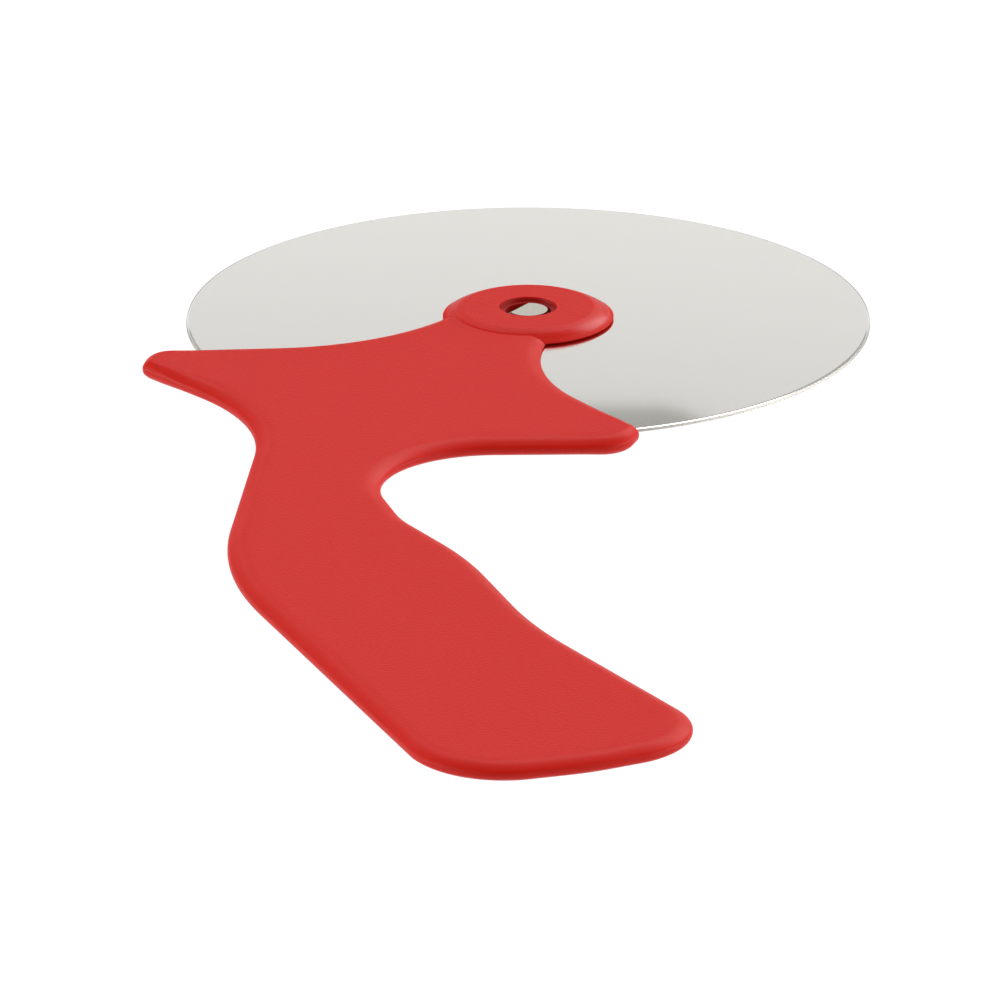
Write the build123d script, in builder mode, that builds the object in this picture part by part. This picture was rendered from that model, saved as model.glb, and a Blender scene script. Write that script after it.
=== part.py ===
# Pizza wheel: a round steel blade that turns between the two moulded halves of a flat, bent handle.
# The axle stands on the origin along +Z. The origin is on the lower boss face, where the tool lies down.
# The grip runs towards -Y, and +X is the finger side of the guard.

import os
from math import atan, degrees
from build123d import *

# Blade, in millimetres
blade_diameter = 100.0
blade_thickness = 0.6
blade_bevel_width = 1.1
blade_edge_thickness = 0.2
blade_side_gap = 0.2
slot_rim_clearance = 1.0

# Axle, cut from round bar with one flat; the blade's hole has the same flat
axle_diameter = 6.5
axle_flat_distance = 1.45
axle_flat_angle = 147.0
axle_end_chamfer = 0.4
axle_end_depth = 0.45
axle_key_clearance = 0.02
axle_running_clearance = 0.08

# Thrust washers between the blade and the bosses
washer_diameter = 14.0
washer_face_clearance = 0.03

# Round bosses, one on each half
boss_diameter = 25.0
boss_rise = 0.6
boss_bevel_width = 2.7
boss_bevel_height = 1.45
boss_edge_radius = 0.5
countersink_width = 0.9
countersink_depth = 0.45

# Handle plate, both halves together
handle_thickness = 3.0
rim_radius = 1.4
rim_land = 0.1

# Head of the handle, measured from the axle: along it towards the grip, and across to the fingers
# Each horn has a small tip and a rounder corner by it: the finger horn's chin, the thumb horn's brow
head_angle = 242.4
finger_neck_inset = 5.45
finger_neck_radius = 30.0
thumb_neck_inset = 2.5
thumb_neck_radius = 33.0
neck_length = 19.8
horn_tip_land = 0.7
finger_horn_angle = 45.65
finger_horn_reach = 1.45
finger_chin_turn = 4.05
finger_chin_rise = 5.6
finger_chin_radius = 5.7
thumb_horn_angle = 41.15
thumb_horn_reach = 10.1
thumb_brow_turn = 5.25
thumb_brow_drop = 3.0
thumb_brow_radius = 4.65
guard_wall = 11.0
notch_radius = 16.5
hollow_setback = 5.65
hollow_radius = 35.9
wrist_width = 15.85
wrist_offset = 5.1
wrist_length = 20.6

# Grip, measured from the bend: along it towards the butt, and across to the fingers
grip_angle = 291.5
grip_length = 113.65
grip_width = 32.6
grip_start_along = 18.8
grip_start_inset = 1.75
grip_start_radius = 20.0
grip_bulge_along = 27.65
grip_bulge_radius = 68.5
knob_along = 36.55
knob_rise = 1.3
knob_radius = 64.4
waist_share = 0.362
waist_radius = 78.0
butt_flare = 8.8
butt_finger_radius = 11.7
butt_bow = 1.85
butt_bow_offset = 4.5
butt_bow_radius = 34.0
butt_thumb_radius = 13.7

# Locating pegs of the upper half, in sockets of the lower half
peg_diameter = 4.0
peg_height = 0.9
peg_side_clearance = 0.05
peg_end_clearance = 0.1
grip_peg_count = 3
grip_peg_first = 20.0
grip_peg_last_margin = 20.0

# Derived sizes
boss_thickness = handle_thickness + 2 * boss_rise
middle_z = boss_thickness / 2
blade_radius = blade_diameter / 2
slot_radius = blade_radius + slot_rim_clearance
slot_half_depth = blade_thickness / 2 + blade_side_gap
axle_radius = axle_diameter / 2
bore_radius = axle_radius + axle_running_clearance
washer_thickness = blade_side_gap - 2 * washer_face_clearance
boss_radius = boss_diameter / 2
boss_top_radius = boss_radius - boss_bevel_width
countersink_radius = bore_radius + countersink_width
countersink_angle = 2 * degrees(atan(countersink_width / countersink_depth))
rim_fillet = min(rim_radius, handle_thickness / 2 - rim_land)
middle_plane = Plane.XY.offset(middle_z)
root_along = -boss_radius / 2
finger_neck = boss_radius - finger_neck_inset
thumb_neck = boss_radius - thumb_neck_inset
horn_tip_radius = rim_fillet + horn_tip_land
notch_along = slot_radius + guard_wall
half_wrist = wrist_width / 2
bend_along = notch_along + wrist_length
half_grip = grip_width / 2
waist_along = knob_along + waist_share * (grip_length - knob_along)


def head_point(along, across):
    """A point on the head, along from the axle towards the grip and across to the finger side."""
    return Vector(along, across).rotate(Axis.Z, head_angle)


def grip_point(along, across):
    """A point on the grip, along from the bend towards the butt and across to the finger side."""
    return head_point(bend_along, 0) + Vector(along, across).rotate(Axis.Z, grip_angle)


def horn_point(reach, angle):
    """A horn's corner, standing clear of the blade's edge by its reach."""
    return Vector(blade_radius + reach, 0).rotate(Axis.Z, head_angle + angle)


def key_section(clearance):
    """The axle's round section with its flat, grown by a clearance, in the current sketch."""
    radius = axle_radius + clearance
    Circle(radius)
    with Locations((axle_flat_distance + clearance + radius, 0)):
        Rectangle(2 * radius, 2 * radius, mode=Mode.SUBTRACT)


# Corners of the handle's outline and their radii, from the boss down the finger side and back
finger_root = head_point(root_along, finger_neck)
thumb_root = head_point(root_along, -thumb_neck)
outline_corners = [
    (head_point(neck_length, finger_neck), finger_neck_radius),
    (horn_point(finger_horn_reach, finger_horn_angle), horn_tip_radius),
    (
        horn_point(finger_horn_reach + finger_chin_rise, finger_horn_angle - finger_chin_turn),
        finger_chin_radius,
    ),
    (head_point(notch_along, half_wrist - wrist_offset), notch_radius),
    (grip_point(grip_start_along, half_grip - grip_start_inset), grip_start_radius),
    (grip_point(knob_along, half_grip + knob_rise), knob_radius),
    (grip_point(waist_along, half_grip), waist_radius),
    (grip_point(grip_length, half_grip + butt_flare), butt_finger_radius),
    (grip_point(grip_length + butt_bow, butt_bow_offset), butt_bow_radius),
    (grip_point(grip_length, -half_grip), butt_thumb_radius),
    (grip_point(grip_bulge_along, -half_grip), grip_bulge_radius),
    (head_point(notch_along - hollow_setback, -half_wrist - wrist_offset), hollow_radius),
    (horn_point(thumb_horn_reach, -thumb_horn_angle), horn_tip_radius),
    (
        horn_point(thumb_horn_reach - thumb_brow_drop, -thumb_horn_angle - thumb_brow_turn),
        thumb_brow_radius,
    ),
    (head_point(neck_length, -thumb_neck), thumb_neck_radius),
]
outline_points = [finger_root, *(point for point, radius in outline_corners), thumb_root]
outline_radii = [radius for point, radius in outline_corners]

# One peg behind the blade slot, the others down the middle of the grip
grip_peg_pitch = (grip_length - grip_peg_first - grip_peg_last_margin) / (grip_peg_count - 1)
peg_points = [head_point(notch_along, -wrist_offset)]
peg_points += [grip_point(grip_peg_first + i * grip_peg_pitch, 0) for i in range(grip_peg_count)]

# Half of the handle above the middle plane: plate with a round rim, boss, blade slot and axle bore
with BuildPart() as half_shell:
    with BuildSketch(middle_plane):
        with BuildLine():
            FilletPolyline(outline_points, radius=outline_radii)
            Line(thumb_root, finger_root)
        make_face()
    extrude(amount=handle_thickness / 2)
    fillet(half_shell.faces().sort_by(Axis.Z)[-1].edges(), radius=rim_fillet)
    with BuildSketch(Plane.XZ):
        with BuildLine():
            FilletPolyline(
                (0, boss_thickness),
                (boss_top_radius, boss_thickness),
                (boss_radius, boss_thickness - boss_bevel_height),
                (boss_radius, middle_z),
                radius=(boss_edge_radius, boss_edge_radius),
            )
            Polyline((boss_radius, middle_z), (0, middle_z), (0, boss_thickness))
        make_face()
    revolve(axis=Axis.Z)
    with BuildSketch(middle_plane):
        Circle(slot_radius)
    extrude(amount=slot_half_depth, mode=Mode.SUBTRACT)
    with Locations((0, 0, boss_thickness)):
        CounterSinkHole(bore_radius, countersink_radius, counter_sink_angle=countersink_angle)

# Upper half, with the pegs
with BuildPart() as handle_upper_half:
    add(half_shell.part)
    with BuildSketch(middle_plane):
        with Locations(*peg_points):
            Circle(peg_diameter / 2)
    extrude(amount=-peg_height)
handle_upper_half.part.label = "handle_upper_half"

# Lower half, mirrored, with the sockets
with BuildPart() as handle_lower_half:
    add(mirror(half_shell.part, about=middle_plane, mode=Mode.PRIVATE))
    with BuildSketch(middle_plane):
        with Locations(*peg_points):
            Circle(peg_diameter / 2 + peg_side_clearance)
    extrude(amount=-peg_height - peg_end_clearance, mode=Mode.SUBTRACT)
handle_lower_half.part.label = "handle_lower_half"

# Blade: a disc ground to an edge from both faces, with a hole that keys it to the axle
key_plane = Plane.XY.rotated((0, 0, axle_flat_angle))
with BuildPart() as blade:
    with BuildSketch(Plane.XZ):
        with BuildLine():
            Polyline(
                (0, middle_z - blade_thickness / 2),
                (blade_radius - blade_bevel_width, middle_z - blade_thickness / 2),
                (blade_radius, middle_z - blade_edge_thickness / 2),
                (blade_radius, middle_z + blade_edge_thickness / 2),
                (blade_radius - blade_bevel_width, middle_z + blade_thickness / 2),
                (0, middle_z + blade_thickness / 2),
                close=True,
            )
        make_face()
    revolve(axis=Axis.Z)
    with BuildSketch(key_plane):
        key_section(axle_key_clearance)
    extrude(amount=boss_thickness, mode=Mode.SUBTRACT)
blade.part.label = "blade"

# Axle: flatted bar with both round ends chamfered, sunk a little below the boss faces
with BuildPart() as axle:
    with BuildSketch(key_plane.offset(axle_end_depth)):
        key_section(0)
    extrude(amount=boss_thickness - 2 * axle_end_depth)
    chamfer(axle.edges().filter_by(GeomType.CIRCLE), length=axle_end_chamfer)
axle.part.label = "axle"

# Thrust washers, running free on the axle between the blade and each half
washer_lift = middle_z + blade_thickness / 2 + washer_face_clearance
with BuildPart() as upper_washer:
    with BuildSketch(Plane.XY.offset(washer_lift)):
        Circle(washer_diameter / 2)
        Circle(bore_radius, mode=Mode.SUBTRACT)
    extrude(amount=washer_thickness)
upper_washer.part.label = "upper_washer"

with BuildPart() as lower_washer:
    add(mirror(upper_washer.part, about=middle_plane, mode=Mode.PRIVATE))
lower_washer.part.label = "lower_washer"

os.makedirs("parts", exist_ok=True)
for piece in (handle_upper_half, handle_lower_half, blade, axle, upper_washer, lower_washer):
    export_step(piece.part, f"parts/{piece.part.label}.step")
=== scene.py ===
from math import cos, pi, radians, sin, tau

import bpy
import numpy as np
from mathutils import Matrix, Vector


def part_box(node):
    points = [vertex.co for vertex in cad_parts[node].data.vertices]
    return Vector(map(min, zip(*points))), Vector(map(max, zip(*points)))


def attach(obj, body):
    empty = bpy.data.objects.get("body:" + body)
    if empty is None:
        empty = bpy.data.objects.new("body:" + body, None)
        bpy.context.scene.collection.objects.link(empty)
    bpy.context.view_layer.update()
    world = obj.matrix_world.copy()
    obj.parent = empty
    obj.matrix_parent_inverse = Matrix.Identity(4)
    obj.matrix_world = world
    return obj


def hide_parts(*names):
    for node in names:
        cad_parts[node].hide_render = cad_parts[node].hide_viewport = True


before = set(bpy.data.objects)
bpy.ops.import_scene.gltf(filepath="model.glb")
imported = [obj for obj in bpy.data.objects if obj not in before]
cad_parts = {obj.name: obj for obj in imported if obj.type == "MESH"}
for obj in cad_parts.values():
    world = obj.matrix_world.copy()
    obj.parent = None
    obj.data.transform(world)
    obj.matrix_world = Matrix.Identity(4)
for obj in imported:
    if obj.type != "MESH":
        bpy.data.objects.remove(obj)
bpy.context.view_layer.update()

MM = 0.001
blade_low, blade_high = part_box("blade")
half_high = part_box("handle_upper_half")[1]

# Camera, fitted to the blade's rim in the photograph
VIEW_ELEVATION = 20.2716
VIEW_DISTANCE = 1800 * MM
VIEW_AIM = (-4.12 * MM, -76.82 * MM, blade_high.z)
LENS_LENGTH = 460.97
SENSOR_WIDTH = 36.0
FLOOR_REACH = 6.0

# Heights over the blade's middle plane, and radii round the axle, in millimetres
MIDDLE_Z = (blade_low.z + blade_high.z) / 2 / MM
BLADE_RADIUS = (blade_high.x - blade_low.x) / 2 / MM
BLADE_HALF = (blade_high.z - blade_low.z) / 2 / MM
BLADE_SIDE_GAP = 0.2
SLOT_HALF = BLADE_HALF + BLADE_SIDE_GAP
SLOT_RIM_CLEARANCE = 1.0
SLOT_RADIUS = BLADE_RADIUS + SLOT_RIM_CLEARANCE
BORE_RADIUS = 3.33

# The boss: a sloped shoulder over a small undercut, and a countersink with steep walls
BOSS_TOP = half_high.z / MM - MIDDLE_Z
BOSS_RISE = 0.6
BOSS_RADIUS = 12.5
BOSS_TOP_RADIUS = 9.7
BOSS_TOP_TILT = 18.0
BOSS_FOOT_TILT = 35.0
BOSS_EDGE_RADIUS = 0.8
BOSS_UNDERCUT = 0.3
SHOULDER_STEPS = 12
BOSS_EDGE_STEPS = 6
COUNTERSINK_WIDTH = 0.9
COUNTERSINK_DEPTH = 0.65
COUNTERSINK_LEAN = 0.13
COUNTERSINK_SEAT_RISE = 0.05

# The handle's soft rim: a wide crown that rolls over to a small nose at the parting line
PLATE_HALF = BOSS_TOP - BOSS_RISE
RIM_CROWN = 4.8
RIM_NOSE = 0.8
RIM_STEPS = 18
RIM_SHARE = 0.85
RIM_EASE = 6.0

# A last ring a little way in on a level face keeps the rim's smooth shading off it
RIM_BORDER_SHARE = 1.04
FACE_BORDER = 0.1
CREASE_ANGLE = 18.0

# Fineness of the meshes
OUTLINE_STEP = 0.5
ARC_POINTS = 65
TURN_STEPS = 192

# Head of the handle, with the sizes of the part's source: along from the axle, and across to the fingers
HEAD_ANGLE = 242.4
ROOT_RADIUS = 6.0
FINGER_NECK_INSET = 5.45
FINGER_NECK_RADIUS = 30.0
THUMB_NECK_INSET = 2.5
THUMB_NECK_RADIUS = 33.0
NECK_LENGTH = 19.8
HORN_TIP_RADIUS = 2.1
FINGER_HORN_ANGLE = 45.65
FINGER_HORN_REACH = 1.45
FINGER_CHIN_TURN = 4.05
FINGER_CHIN_RISE = 5.6
FINGER_CHIN_RADIUS = 5.7
THUMB_HORN_ANGLE = 41.15
THUMB_HORN_REACH = 10.1
THUMB_BROW_TURN = 5.25
THUMB_BROW_DROP = 3.0
THUMB_BROW_RADIUS = 4.65
GUARD_WALL = 11.0
NOTCH_RADIUS = 16.5
HOLLOW_SETBACK = 5.65
HOLLOW_RADIUS = 35.9
WRIST_WIDTH = 15.85
WRIST_OFFSET = 5.1
WRIST_LENGTH = 20.6

# Grip, with the sizes of the part's source: along from the bend, and across to the fingers
GRIP_ANGLE = 291.5
GRIP_LENGTH = 113.65
GRIP_WIDTH = 32.6
GRIP_START_ALONG = 18.8
GRIP_START_INSET = 1.75
GRIP_START_RADIUS = 20.0
GRIP_BULGE_ALONG = 27.65
GRIP_BULGE_RADIUS = 68.5
KNOB_ALONG = 36.55
KNOB_RISE = 1.3
KNOB_RADIUS = 64.4
WAIST_SHARE = 0.362
WAIST_RADIUS = 78.0
BUTT_FLARE = 8.8
BUTT_FINGER_RADIUS = 11.7
BUTT_BOW = 1.85
BUTT_BOW_OFFSET = 4.5
BUTT_BOW_RADIUS = 34.0
BUTT_THUMB_RADIUS = 13.7

# The blade's upper edge, from the face outwards: a rolled brow, a narrow bevel and a steep ground edge
BLADE_BROW_RADIUS = 0.9
BLADE_BROW_STEPS = 5
BLADE_BEVEL_TILT = 16.0
BLADE_BEVEL_WIDTH = 0.08
BLADE_GROUND_TILT = 75.0

# The cutting edge lies below the middle plane, over a small land and one wide lower bevel
BLADE_EDGE_DROP = 0.15
BLADE_LAND_WIDTH = 0.04
BLADE_LAND_HEIGHT = 0.06
BLADE_UNDER_BEVEL = 0.9

# The axle: a bar with one flat, turned down at its ends
AXLE_RADIUS = 3.25
AXLE_FLAT = 1.45
AXLE_FLAT_ANGLE = 147.0
AXLE_END_DEPTH = 0.45
AXLE_TURNED_DEPTH = 0.42
AXLE_TURNED_LENGTH = 1.2
KEY_CLEARANCE = 0.02


def linear(code):
    """An sRGB hex colour as linear red, green, blue and alpha."""
    srgb = [int(code[i:i + 2], 16) / 255 for i in (1, 3, 5)]
    return [c / 12.92 if c <= 0.04045 else ((c + 0.055) / 1.055) ** 2.4 for c in srgb] + [1.0]


def add_node(tree, kind, *values, **named):
    """Adds a node. Plain values go to its inputs in order, capitalised names are inputs, with _ for a
    space, and names in small letters are settings. A node or a socket is linked, and others are set."""
    node = tree.nodes.new(kind)
    settings = {name: value for name, value in named.items() if name.islower()}
    for name, value in settings.items():
        setattr(node, name, value)
    sockets = [socket for socket in node.inputs if socket.enabled]
    by_name = {socket.name.replace(" ", "_"): socket for socket in sockets}
    pairs = list(zip(sockets, values))
    pairs += [(by_name[name], value) for name, value in named.items() if name not in settings]
    for socket, value in pairs:
        if isinstance(value, bpy.types.Node):
            value = next(output for output in value.outputs if output.enabled)
        if isinstance(value, bpy.types.NodeSocket):
            tree.links.new(value, socket)
        else:
            socket.default_value = value
    return node


def new_material(name):
    """An empty node material, as (material, tree)."""
    material = bpy.data.materials.new(name)
    material.use_nodes = True
    material.node_tree.nodes.clear()
    return material, material.node_tree


def turned(degrees_round, along, across):
    """A point along and across a line through the origin that stands at an angle to +X."""
    a = radians(degrees_round)
    return np.array([along * cos(a) - across * sin(a), along * sin(a) + across * cos(a)])


def handle_corners():
    """Corners (x, y, radius) of the handle's outline, from the boss down the finger side and back.

    Points of the head lie along and across its line from the axle, those of the grip along and across
    its line from the bend, and horns stand clear of the blade by their reach. Both roots are rounded
    inside the boss.
    """
    finger_neck = BOSS_RADIUS - FINGER_NECK_INSET
    thumb_neck = BOSS_RADIUS - THUMB_NECK_INSET
    notch = SLOT_RADIUS + GUARD_WALL
    half_wrist = WRIST_WIDTH / 2
    half_grip = GRIP_WIDTH / 2
    waist = KNOB_ALONG + WAIST_SHARE * (GRIP_LENGTH - KNOB_ALONG)
    bend = turned(HEAD_ANGLE, notch + WRIST_LENGTH, 0)

    def on_head(along, across):
        return turned(HEAD_ANGLE, along, across)

    def on_grip(along, across):
        return bend + turned(GRIP_ANGLE, along, across)

    def on_horn(reach, angle):
        return turned(HEAD_ANGLE + angle, BLADE_RADIUS + reach, 0)

    finger_chin = on_horn(FINGER_HORN_REACH + FINGER_CHIN_RISE, FINGER_HORN_ANGLE - FINGER_CHIN_TURN)
    thumb_brow = on_horn(THUMB_HORN_REACH - THUMB_BROW_DROP, -THUMB_HORN_ANGLE - THUMB_BROW_TURN)
    corners = [
        (on_head(-BOSS_RADIUS / 2, finger_neck), ROOT_RADIUS),
        (on_head(NECK_LENGTH, finger_neck), FINGER_NECK_RADIUS),
        (on_horn(FINGER_HORN_REACH, FINGER_HORN_ANGLE), HORN_TIP_RADIUS),
        (finger_chin, FINGER_CHIN_RADIUS),
        (on_head(notch, half_wrist - WRIST_OFFSET), NOTCH_RADIUS),
        (on_grip(GRIP_START_ALONG, half_grip - GRIP_START_INSET), GRIP_START_RADIUS),
        (on_grip(KNOB_ALONG, half_grip + KNOB_RISE), KNOB_RADIUS),
        (on_grip(waist, half_grip), WAIST_RADIUS),
        (on_grip(GRIP_LENGTH, half_grip + BUTT_FLARE), BUTT_FINGER_RADIUS),
        (on_grip(GRIP_LENGTH + BUTT_BOW, BUTT_BOW_OFFSET), BUTT_BOW_RADIUS),
        (on_grip(GRIP_LENGTH, -half_grip), BUTT_THUMB_RADIUS),
        (on_grip(GRIP_BULGE_ALONG, -half_grip), GRIP_BULGE_RADIUS),
        (on_head(notch - HOLLOW_SETBACK, -half_wrist - WRIST_OFFSET), HOLLOW_RADIUS),
        (on_horn(THUMB_HORN_REACH, -THUMB_HORN_ANGLE), HORN_TIP_RADIUS),
        (thumb_brow, THUMB_BROW_RADIUS),
        (on_head(NECK_LENGTH, -thumb_neck), THUMB_NECK_RADIUS),
        (on_head(-BOSS_RADIUS / 2, -thumb_neck), ROOT_RADIUS),
    ]
    return np.array([[*point, radius] for point, radius in corners])


def unit(rows):
    """Rows scaled to length one."""
    return rows / np.linalg.norm(rows, axis=-1, keepdims=True)


def rounded_outline(corners, step):
    """A closed outline of straight lines and tangent arcs through corners (x, y, radius).

    Each arc's centre is on the corner's bisector at radius / sin(half angle). The points are
    spaced evenly by step.
    """
    point, radius = corners[:, :2], corners[:, 2]
    back = unit(np.roll(point, 1, 0) - point)
    ahead = unit(np.roll(point, -1, 0) - point)
    half = np.arccos(np.clip((back * ahead).sum(1), -1, 1)) / 2
    reach = (radius / np.tan(half))[:, None]
    centre = point + unit(back + ahead) * (radius / np.sin(half))[:, None]
    first = point + back * reach - centre
    last = point + ahead * reach - centre
    start = np.arctan2(first[:, 1], first[:, 0])
    sweep = (np.arctan2(last[:, 1], last[:, 0]) - start + pi) % tau - pi
    angle = start[:, None] + sweep[:, None] * np.linspace(0, 1, ARC_POINTS)
    arcs = centre[:, None] + radius[:, None, None] * np.stack([np.cos(angle), np.sin(angle)], 2)
    path = arcs.reshape(-1, 2)
    path = np.concatenate([path, path[:1]])
    length = np.concatenate([[0], np.cumsum(np.linalg.norm(np.diff(path, axis=0), axis=1))])
    even = np.linspace(0, length[-1], int(length[-1] / step), endpoint=False)
    return np.stack([np.interp(even, length, path[:, 0]), np.interp(even, length, path[:, 1])], 1)


def inward_normals(outline):
    """Unit normals to the left of a closed outline that runs anticlockwise."""
    run = unit(np.roll(outline, -1, 0) - np.roll(outline, 1, 0))
    return np.stack([-run[:, 1], run[:, 0]], 1)


def rim_reach(outline, normal, width):
    """How far the rim may reach in from each point of the outline.

    A circle that touches the outline at p with its centre on the normal n meets a point q at radius
    |q - p|^2 / (2 n.(q - p)). The least of those over all q is the room there; a share of it, held to
    the rim's full width, is spread as its least value and then averaged over a few millimetres.
    """
    tiny = 1e-6
    chord = outline[None] - outline[:, None]
    across = (chord * normal[:, None]).sum(2)
    room = np.where(across > tiny, (chord ** 2).sum(2) / np.maximum(2 * across, tiny), np.inf).min(1)
    reach = np.minimum(width, RIM_SHARE * room)
    shifts = np.arange(-int(RIM_EASE / OUTLINE_STEP), int(RIM_EASE / OUTLINE_STEP) + 1)
    least = np.min([np.roll(reach, s) for s in shifts], axis=0)
    weight = np.hanning(len(shifts) + 2)[1:-1]
    return np.average([np.roll(least, s) for s in shifts], axis=0, weights=weight)


def solid(name, points, faces):
    """A mesh object from points in millimetres, measured over the blade's middle plane."""
    mesh = bpy.data.meshes.new(name)
    mesh.from_pydata(((points + [0, 0, MIDDLE_Z]) * MM).tolist(), [], faces)
    piece = bpy.data.objects.new(name, mesh)
    bpy.context.scene.collection.objects.link(piece)
    return piece


def ringed_faces(rings, count, looped=False):
    """Quads between rings of count points each, outwards for rings that run anticlockwise and upwards.

    A looped section joins its last ring to its first; any other is closed by a face at each end.
    """
    base = np.arange(rings * count).reshape(rings, count)
    near = base if looped else base[:-1]
    far = np.roll(base, -1, 0)[:len(near)]
    quads = np.stack([near, np.roll(near, -1, 1), np.roll(far, -1, 1), far], 2)
    faces = quads.reshape(-1, 4).tolist()
    return faces if looped else faces + [base[0, ::-1].tolist(), base[-1].tolist()]


def rim_section():
    """Inset, as a share of the rim's width, and height of the rim's section, and the width itself.

    The nose is an arc about the parting line, and the crown an arc that it runs into: their centres are
    the difference of the radii apart. Both are stepped by the tilt of the surface from level.
    """
    drop = RIM_CROWN - PLATE_HALF
    width = RIM_NOSE + np.sqrt((RIM_CROWN - RIM_NOSE) ** 2 - drop ** 2)
    join = np.arccos(drop / (RIM_CROWN - RIM_NOSE))
    tilt = np.linspace(pi / 2, 0, RIM_STEPS + 1)
    on_nose = tilt > join
    inset = np.where(on_nose, RIM_NOSE * (1 - np.sin(tilt)), width - RIM_CROWN * np.sin(tilt))
    height = np.where(on_nose, RIM_NOSE * np.cos(tilt), RIM_CROWN * np.cos(tilt) - drop)
    share = np.append(inset / width, RIM_BORDER_SHARE)
    return share, np.append(height, PLATE_HALF), width


def handle_plate():
    """Upper half of the plate: the rim's section carried round the outline, between two flat faces.

    The section stands in from the outline by its share of the rim's reach there.
    """
    outline = rounded_outline(handle_corners()[::-1], OUTLINE_STEP)
    normal = inward_normals(outline)
    share, height, width = rim_section()
    inset = rim_reach(outline, normal, width) * share[:, None]
    plan = outline + inset[..., None] * normal
    lift = np.broadcast_to(height[:, None], inset.shape)
    points = np.concatenate([plan, lift[..., None]], 2).reshape(-1, 3)
    return solid("handle_plate", points, ringed_faces(len(share), len(outline)))


def turn_angles(*more):
    """Even angles round the axle, and any others that a corner needs, in order."""
    even = np.linspace(0, tau, TURN_STEPS, endpoint=False)
    return np.sort(np.concatenate([even, np.array(more) % tau]))


def spun(name, radius, height, angle, looped=False):
    """Rings about the axle: radius by ring and angle, and height by ring, bottom to top."""
    radius, height = np.broadcast_arrays(radius, np.asarray(height)[:, None] + 0 * angle)
    points = np.stack([radius * np.cos(angle), radius * np.sin(angle), height], 2).reshape(-1, 3)
    return solid(name, points, ringed_faces(len(radius), len(angle), looped))


def turned_profile(name, profile):
    """A plain solid of revolution from (radius, height) points, bottom to top."""
    profile = np.array(profile)
    return spun(name, profile[:, :1], profile[:, 1], turn_angles())


def flatted(radius, flat, angle):
    """Radius at each angle of a round section with one flat: the lesser of the circle and the flat."""
    across = np.cos(angle - radians(AXLE_FLAT_ANGLE))
    return np.where(across > flat / radius, flat / np.maximum(across, flat / radius), radius)


def flat_corners(radius, flat):
    """Angles of the two corners where a flat meets its circle."""
    half = np.arccos(flat / radius)
    return radians(AXLE_FLAT_ANGLE) - half, radians(AXLE_FLAT_ANGLE) + half


def combined(piece, other, operation):
    """The piece joined with, or cut by, another solid, which is then removed."""
    modifier = piece.modifiers.new(operation, "BOOLEAN")
    modifier.operation = operation
    modifier.solver = "EXACT"
    modifier.object = other
    bpy.context.view_layer.update()
    cut = piece.evaluated_get(bpy.context.evaluated_depsgraph_get())
    result = bpy.data.meshes.new_from_object(cut)
    piece.modifiers.clear()
    piece.data = result
    bpy.data.objects.remove(other)
    return piece


def boss_profile():
    """Points (radius, height) of the boss, bottom to top.

    Over the undercut, the shoulder is an arc between the tilts of its foot and its top, of radius
    width / (sin foot - sin top). A smaller arc takes it on to level.
    """
    tilt = np.radians(np.linspace(BOSS_FOOT_TILT, BOSS_TOP_TILT, SHOULDER_STEPS))
    arc = (BOSS_RADIUS - BOSS_TOP_RADIUS) / (np.sin(tilt[0]) - np.sin(tilt[-1]))
    edge = np.radians(np.linspace(BOSS_TOP_TILT, 0, BOSS_EDGE_STEPS))[1:]
    edge_foot = BOSS_TOP - BOSS_EDGE_RADIUS * (1 - np.cos(tilt[-1]))
    shoulder = np.stack([
        BOSS_TOP_RADIUS + arc * (np.sin(tilt) - np.sin(tilt[-1])),
        edge_foot + arc * (np.cos(tilt) - np.cos(tilt[-1])),
    ], 1)
    brow = np.stack([
        BOSS_TOP_RADIUS - BOSS_EDGE_RADIUS * (np.sin(tilt[-1]) - np.sin(edge)),
        BOSS_TOP - BOSS_EDGE_RADIUS * (1 - np.cos(edge)),
    ], 1)
    foot = (BOSS_RADIUS - BOSS_UNDERCUT, BLADE_HALF)
    return [foot, *shoulder, *brow, (brow[-1, 0] - FACE_BORDER, BOSS_TOP)]


def bore_profile():
    """Points (radius, height) of the axle's bore and its countersink, past both faces, bottom to top."""
    seat = BOSS_TOP - COUNTERSINK_DEPTH
    mouth = BORE_RADIUS + COUNTERSINK_WIDTH
    return [
        (BORE_RADIUS, -SLOT_HALF),
        (BORE_RADIUS, seat),
        (mouth - COUNTERSINK_LEAN, seat + COUNTERSINK_SEAT_RISE),
        (mouth, BOSS_TOP),
        (mouth, BOSS_TOP + COUNTERSINK_DEPTH),
    ]


def handle_half():
    """Upper half of the handle: the plate and its boss, with the blade's slot and the axle's bore."""
    slot = [(SLOT_RADIUS, -SLOT_HALF), (SLOT_RADIUS, SLOT_HALF)]
    half = combined(handle_plate(), turned_profile("boss", boss_profile()), "UNION")
    half = combined(half, turned_profile("slot", slot), "DIFFERENCE")
    return combined(half, turned_profile("bore", bore_profile()), "DIFFERENCE")


def turned_over(piece, name):
    """A copy of a piece mirrored in the blade's middle plane, with its faces turned to point outwards."""
    mesh = piece.data.copy()
    place = np.empty(len(mesh.vertices) * 3)
    mesh.vertices.foreach_get("co", place)
    place[2::3] = 2 * MIDDLE_Z * MM - place[2::3]
    mesh.vertices.foreach_set("co", place)
    mesh.flip_normals()
    mesh.update()
    copy = bpy.data.objects.new(name, mesh)
    bpy.context.scene.collection.objects.link(copy)
    return copy


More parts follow.
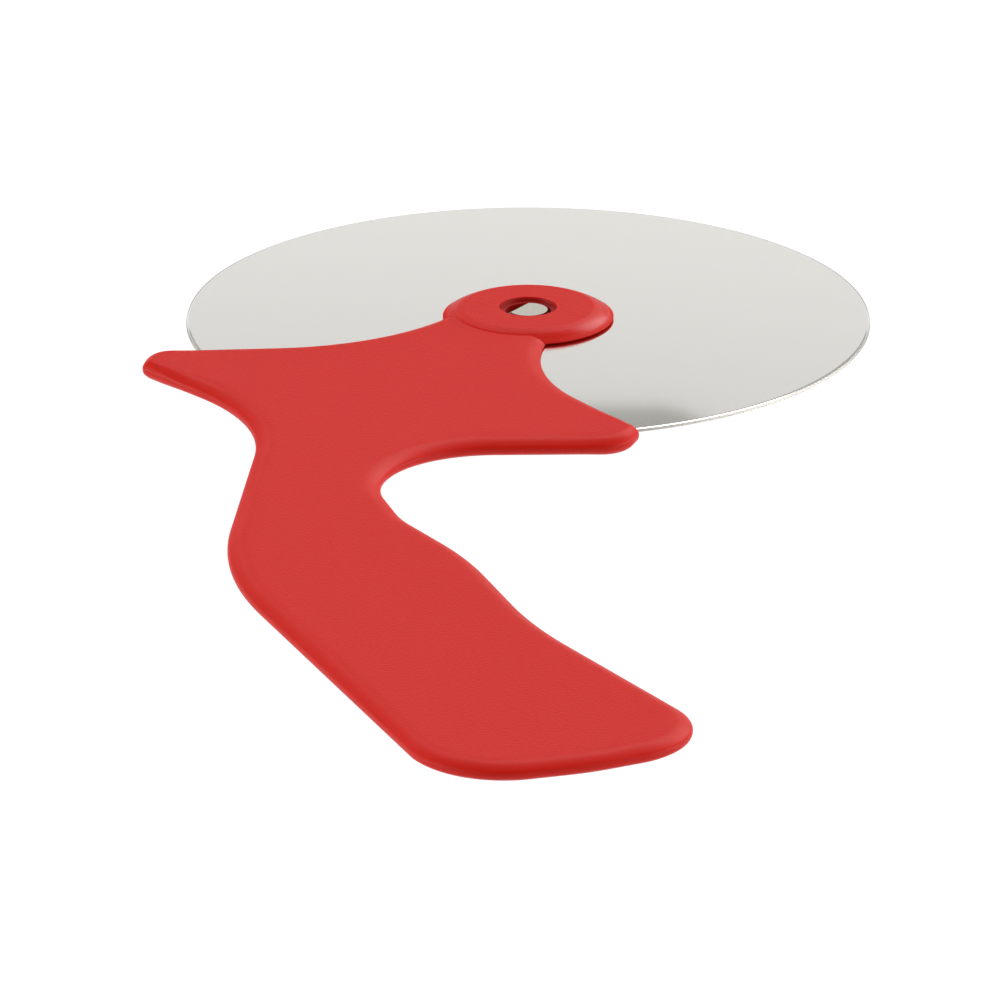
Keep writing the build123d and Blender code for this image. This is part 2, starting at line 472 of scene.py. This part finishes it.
def blade_disc():
    """The blade: its section carried round the axle, with a hole that has the axle's flat.

    From the upper face outwards the brow is an arc from level to the bevel's tilt, the bevel a cone, and
    the ground edge a steeper cone down to the cutting edge. Under that edge, a small land and one wide
    cone lead back to the lower face.
    """
    bevel, ground = radians(BLADE_BEVEL_TILT), radians(BLADE_GROUND_TILT)
    tilt = np.linspace(0, bevel, BLADE_BROW_STEPS)
    brow_drop = BLADE_BROW_RADIUS * (1 - cos(bevel))
    bevel_drop = BLADE_BEVEL_WIDTH * np.tan(bevel)
    ground_top = BLADE_HALF - brow_drop - bevel_drop
    ground_foot = BLADE_RADIUS - (ground_top + BLADE_EDGE_DROP) / np.tan(ground)
    brow_start = ground_foot - BLADE_BEVEL_WIDTH - BLADE_BROW_RADIUS * sin(bevel)
    brow = brow_start + BLADE_BROW_RADIUS * np.sin(tilt)
    brow_height = BLADE_HALF - BLADE_BROW_RADIUS * (1 - np.cos(tilt))
    land_height = -BLADE_EDGE_DROP - BLADE_LAND_HEIGHT
    side = np.concatenate([
        [BLADE_RADIUS - BLADE_UNDER_BEVEL, BLADE_RADIUS - BLADE_LAND_WIDTH, BLADE_RADIUS],
        [ground_foot], brow[::-1], [brow_start - FACE_BORDER],
    ])
    height = np.concatenate([
        [-BLADE_HALF, -BLADE_HALF, land_height, -BLADE_EDGE_DROP],
        [ground_top], brow_height[::-1], [BLADE_HALF, BLADE_HALF],
    ])
    hole_radius, hole_flat = AXLE_RADIUS + KEY_CLEARANCE, AXLE_FLAT + KEY_CLEARANCE
    angle = turn_angles(*flat_corners(hole_radius, hole_flat))
    hole = flatted(hole_radius, hole_flat, angle)[None]
    rings = np.concatenate([hole, side[:, None] + 0 * angle, hole])
    return spun("blade_disc", rings, height, angle, looped=True)


def axle_bar():
    """The axle: a round section with one flat, turned down by a step at each end.

    The flat runs through at the same depth, so only the round side steps in.
    """
    end = BOSS_TOP - AXLE_END_DEPTH
    small = AXLE_RADIUS - AXLE_TURNED_DEPTH
    height = end - np.array([AXLE_TURNED_LENGTH, AXLE_TURNED_LENGTH, 0])
    angle = turn_angles(*flat_corners(AXLE_RADIUS, AXLE_FLAT), *flat_corners(small, AXLE_FLAT))
    upper = np.stack([flatted(radius, AXLE_FLAT, angle) for radius in (AXLE_RADIUS, small, small)])
    rings = np.concatenate([upper[::-1], upper])
    return spun("axle_bar", rings, np.concatenate([-height[::-1], height]), angle)


def between(tree, value, low, high, soft):
    """One inside a range of a value and nought outside it, with soft ends."""
    rise = add_node(tree, "ShaderNodeMapRange", value, low - soft, low + soft, 0.0, 1.0,
                    interpolation_type="SMOOTHSTEP")
    fall = add_node(tree, "ShaderNodeMapRange", value, high - soft, high + soft, 1.0, 0.0,
                    interpolation_type="SMOOTHSTEP")
    return add_node(tree, "ShaderNodeMath", rise, fall, operation="MULTIPLY")


def moulded_red_plastic():
    """Red polypropylene from a spark-eroded mould.

    The level faces carry a fine grain that scatters the light, the rims are smoother and catch it, and the
    boss's shoulder has a polished band over a dull foot. The bore and countersink get painted shade: a
    deeper red for the recess's shadow.
    """
    material, tree = new_material("red_polypropylene_spark_grained")
    place = add_node(tree, "ShaderNodeTexCoord")

    # How level the surface is, 1 when it lies flat, says where the grain is
    grain_starts, grain_full = 0.955, 0.998
    lift = add_node(tree, "ShaderNodeSeparateXYZ", place.outputs["Normal"]).outputs["Z"]
    level = add_node(tree, "ShaderNodeMath", lift, operation="ABSOLUTE")
    grained = add_node(tree, "ShaderNodeMapRange", level, grain_starts, grain_full,
                       interpolation_type="SMOOTHSTEP")

    # The shoulder's band and foot, by the distance from the axle and how level the surface is
    face_reach, boss_reach, reach_soft = 6.0 * MM, (BOSS_RADIUS + 0.1) * MM, 0.01 * MM
    band_foot, band_top, band_soft = 0.855, 0.927, 0.02
    flat_place = add_node(tree, "ShaderNodeVectorMath", place.outputs["Object"], (1.0, 1.0, 0.0),
                          operation="MULTIPLY")
    reach = add_node(tree, "ShaderNodeVectorMath", flat_place, operation="LENGTH")
    on_boss = between(tree, reach, face_reach, boss_reach, reach_soft)
    banded = between(tree, level, band_foot, band_top, band_soft)
    below = between(tree, level, -1.0, band_foot, band_soft)
    polish = add_node(tree, "ShaderNodeMath", on_boss, banded, operation="MULTIPLY")
    foot = add_node(tree, "ShaderNodeMath", on_boss, below, operation="MULTIPLY")
    rough = add_node(tree, "ShaderNodeMapRange", grained, To_Min=0.46, To_Max=0.586)
    rough = add_node(tree, "ShaderNodeMath", polish, -0.2, rough, operation="MULTIPLY_ADD")
    rough = add_node(tree, "ShaderNodeMath", foot, 0.17, rough, operation="MULTIPLY_ADD")

    # Spark grain is about 0.1 mm wide, drawn at 0.45 mm so that it shows
    grain_width, grain_depth = 0.45 * MM, 0.12 * MM
    grain = add_node(tree, "ShaderNodeTexNoise", place.outputs["Object"], Scale=1 / grain_width, Detail=3.0)
    strength = add_node(tree, "ShaderNodeMapRange", grained, To_Min=0.1, To_Max=1.0)
    bump = add_node(tree, "ShaderNodeBump", Height=grain, Strength=strength, Distance=grain_depth)

    # Painted shade: the bore is given a darker red for its shadow, stopping just inside the mouth of the
    # countersink
    bore_shade_reach = (BORE_RADIUS + COUNTERSINK_WIDTH - 0.02) * MM
    painted_bore_shade = add_node(tree, "ShaderNodeMath", reach, bore_shade_reach, operation="LESS_THAN")
    # The darker of these two reds is painted shade in the bore, not the plastic's own colour
    tone = add_node(tree, "ShaderNodeMix", painted_bore_shade, linear("#C9170A"), linear("#9C0F09"), data_type="RGBA")
    shader = add_node(
        tree, "ShaderNodeBsdfPrincipled", Base_Color=tone, Roughness=rough, Normal=bump,
        Subsurface_Weight=0.3, Subsurface_Radius=(1.0, 0.12, 0.08), Subsurface_Scale=2.5 * MM,
        Specular_IOR_Level=0.128,
    )
    add_node(tree, "ShaderNodeOutputMaterial", Surface=shader)
    return material


def brushed_stainless():
    """Stainless sheet brushed along Y, with a ground edge.

    The faces have fine light and dull lines under a bright skin, so reflections keep a crisp edge over a
    soft glow. The steep ground edge has no skin, and is matt and greyer.
    """
    material, tree = new_material("stainless_sheet_brushed")
    place = add_node(tree, "ShaderNodeTexCoord")
    lift = add_node(tree, "ShaderNodeSeparateXYZ", place.outputs["Normal"]).outputs["Z"]
    level = add_node(tree, "ShaderNodeMath", lift, operation="ABSOLUTE")
    ground_level, face_level = 0.5, 0.7
    face = add_node(tree, "ShaderNodeMapRange", level, ground_level, face_level)

    # Brushed lines are about 0.03 mm apart, drawn at 0.15 mm so that they show, and 100 times as long
    line_width, line_shrink = 0.15 * MM, 0.01
    stretched = add_node(tree, "ShaderNodeMapping", place.outputs["Object"], Scale=(1.0, line_shrink, 1.0))
    line = add_node(tree, "ShaderNodeTexNoise", stretched, Scale=1 / line_width, Detail=2.0)
    rough = add_node(tree, "ShaderNodeMapRange", line, To_Min=0.1, To_Max=0.2)
    rough = add_node(tree, "ShaderNodeMix", face, 0.5, rough)
    tone = add_node(tree, "ShaderNodeMix", line, linear("#D6D3C9"), linear("#DDDAD0"), data_type="RGBA")
    tone = add_node(tree, "ShaderNodeMix", face, linear("#B0ADA6"), tone, data_type="RGBA")
    across = add_node(tree, "ShaderNodeVectorTransform", (1.0, 0.0, 0.0),
                      vector_type="VECTOR", convert_from="OBJECT", convert_to="WORLD")
    shader = add_node(
        tree, "ShaderNodeBsdfPrincipled", Base_Color=tone, Metallic=1.0, Roughness=rough,
        Anisotropic=0.6, Tangent=across, Coat_Weight=face, Coat_Roughness=0.018, Coat_IOR=3.0,
    )
    add_node(tree, "ShaderNodeOutputMaterial", Surface=shader)
    return material


def cut_bar():
    """Stainless bar, sawn and tumbled: small warm clouds, some brighter and some duller."""
    material, tree = new_material("stainless_bar_cut")
    cloud_width = 0.5 * MM
    place = add_node(tree, "ShaderNodeTexCoord").outputs["Object"]
    dull = add_node(tree, "ShaderNodeTexNoise", place, Scale=1 / cloud_width, Detail=2.0)
    rough = add_node(tree, "ShaderNodeMapRange", dull, To_Min=0.12, To_Max=0.2)
    tone = add_node(tree, "ShaderNodeMix", dull, linear("#D2CEC0"), linear("#E0DCCE"), data_type="RGBA")
    shader = add_node(tree, "ShaderNodeBsdfPrincipled", Base_Color=tone, Metallic=1.0, Roughness=rough)
    add_node(tree, "ShaderNodeOutputMaterial", Surface=shader)
    return material


def natural_nylon():
    """Off-white nylon sheet, rolled and punched: faint clouds 2 mm wide, with a soft sheen."""
    material, tree = new_material("natural_nylon_punched")
    cloud_width = 2.0 * MM
    place = add_node(tree, "ShaderNodeTexCoord").outputs["Object"]
    cloud = add_node(tree, "ShaderNodeTexNoise", place, Scale=1 / cloud_width, Detail=3.0)
    tone = add_node(tree, "ShaderNodeMix", cloud, linear("#E0DCCF"), linear("#ECE9DF"), data_type="RGBA")
    rough = add_node(tree, "ShaderNodeMapRange", cloud, To_Min=0.42, To_Max=0.58)
    shader = add_node(tree, "ShaderNodeBsdfPrincipled", Base_Color=tone, Roughness=rough)
    add_node(tree, "ShaderNodeOutputMaterial", Surface=shader)
    return material


def dress(piece, material):
    """Puts one material on a piece."""
    piece.data.materials.clear()
    piece.data.materials.append(material)


def place_piece(piece, body, node, material):
    """Dresses a piece, shades it smooth between creases, and lets it ride a body in place of a node."""
    dress(piece, material)
    piece.data.shade_smooth()
    piece.data.set_sharp_from_angle(angle=radians(CREASE_ANGLE))
    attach(piece, body)
    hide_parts(node)


red = moulded_red_plastic()
upper = handle_half()
upper.name = "handle_upper_moulding"
lower = turned_over(upper, "handle_lower_moulding")
place_piece(upper, "handle", "handle_upper_half", red)
place_piece(lower, "handle", "handle_lower_half", red)
place_piece(blade_disc(), "wheel", "blade", brushed_stainless())
place_piece(axle_bar(), "wheel", "axle", cut_bar())
nylon = natural_nylon()
dress(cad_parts["upper_washer"], nylon)
dress(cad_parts["lower_washer"], nylon)


def pale_floor():
    """A wide white floor under the tool, evenly lit, which throws no stray light on the handle."""
    mesh = bpy.data.meshes.new("floor")
    corners = np.array([(-1, -1, 0), (1, -1, 0), (1, 1, 0), (-1, 1, 0)]) * FLOOR_REACH
    mesh.from_pydata(corners.tolist(), [], [(0, 1, 2, 3)])
    material, tree = new_material("white_card_matt")
    shader = add_node(
        tree, "ShaderNodeBsdfPrincipled", Base_Color=linear("#606060"), Roughness=0.9,
        Specular_IOR_Level=0.0, Emission_Color=linear("#FFFFFF"), Emission_Strength=1.0,
    )
    add_node(tree, "ShaderNodeOutputMaterial", Surface=shader)
    mesh.materials.append(material)
    floor = bpy.data.objects.new("floor", mesh)
    floor.visible_diffuse = False
    bpy.context.scene.collection.objects.link(floor)


def studio():
    """A dim room with soft lights all round the tool, by direction.

    Each light is a strength times soft bands: of the height z of a direction, and of ahead, how nearly
    it faces the back wall, y / sqrt(1 - z^2), from -1 in front to 1 behind. The sum of the lights is
    never negative, because the dark gap only takes away light of the wall and the room.
    """
    world = bpy.data.worlds.new("studio")
    bpy.context.scene.world = world
    world.use_nodes = True
    tree = world.node_tree
    tree.nodes.clear()
    direction = add_node(tree, "ShaderNodeTexCoord").outputs["Generated"]
    x, y, z = add_node(tree, "ShaderNodeSeparateXYZ", direction).outputs
    z_squared = add_node(tree, "ShaderNodeMath", z, z, operation="MULTIPLY")
    flat_squared = add_node(tree, "ShaderNodeMath", 1.0, z_squared, operation="SUBTRACT")
    flat = add_node(tree, "ShaderNodeMath", flat_squared, operation="SQRT")
    ahead = add_node(tree, "ShaderNodeMath", y, flat, operation="DIVIDE")

    # The sweep's top edge steps up a little to the right of the middle, and the sweep dims towards it
    step = add_node(tree, "ShaderNodeMapRange", x, 0.0122, 0.0235, 0.0, -0.004,
                    interpolation_type="SMOOTHSTEP")
    raised = add_node(tree, "ShaderNodeMath", z, step, operation="ADD")
    dimming = add_node(tree, "ShaderNodeMapRange", z, 0.3245, 0.341, 0.63, 0.57)
    from_the_right = add_node(tree, "ShaderNodeMapRange", x, -0.1, 0.1, 0.4, 6.0)

    sweep_top, gap_top, wall_top = 0.3396, 0.362, 0.609
    crisp = 0.0002
    past = 2.0  # beyond any direction, so that a band is open on that side
    room = 0.08
    lights = [
        # the room's lower part, its ceiling, and the floor's own light from below
        (0.37, (z, -past, 0.38, 0.03)),
        (0.42, (z, 0.88, past, 0.05)),
        (0.38, (z, -past, 0.0, 0.02)),
        # the white sweep behind the tool, the dark gap over it, the grey wall and a wide light on top
        (dimming, (raised, 0.26, sweep_top, crisp), (ahead, 0.968, past, 0.017)),
        (-0.72, (raised, sweep_top, gap_top, crisp), (ahead, 0.985, past, 0.01)),
        (0.35, (raised, sweep_top, wall_top, crisp), (ahead, 0.9, past, 0.03)),
        (5.4, (z, wall_top, 0.835, 0.025), (ahead, 0.936, past, 0.03)),
        # a light beside it, mostly on the right, a wide one at each side, and a low one under that
        (from_the_right, (z, 0.34, 0.76, 0.03), (ahead, 0.72, 0.915, 0.03)),
        (2.1, (z, 0.43, 0.7, 0.02), (ahead, -0.8, 0.45, 0.075)),
        (9.0, (z, 0.06, 0.24, 0.02), (ahead, -0.5, 0.4, 0.05)),
    ]
    glow = room
    for strength, *bands in lights:
        light = strength
        for band in bands:
            light = add_node(tree, "ShaderNodeMath", between(tree, *band), light, operation="MULTIPLY")
        glow = add_node(tree, "ShaderNodeMath", light, glow, operation="ADD")
    background = add_node(tree, "ShaderNodeBackground", linear("#FFFFFF"), glow)
    add_node(tree, "ShaderNodeOutputWorld", Surface=background)


def camera():
    """The camera at the photograph's angle."""
    lens = bpy.data.cameras.new("camera")
    lens.lens = LENS_LENGTH
    lens.sensor_width = SENSOR_WIDTH
    eye = bpy.data.objects.new("camera", lens)
    tilt = radians(VIEW_ELEVATION)
    eye.location = (
        VIEW_AIM[0],
        VIEW_AIM[1] - VIEW_DISTANCE * cos(tilt),
        VIEW_AIM[2] + VIEW_DISTANCE * sin(tilt),
    )
    eye.rotation_euler = (radians(90) - tilt, 0, 0)
    bpy.context.scene.collection.objects.link(eye)
    bpy.context.scene.camera = eye


pale_floor()
studio()
camera()
bpy.context.scene.view_settings.view_transform = "Standard"
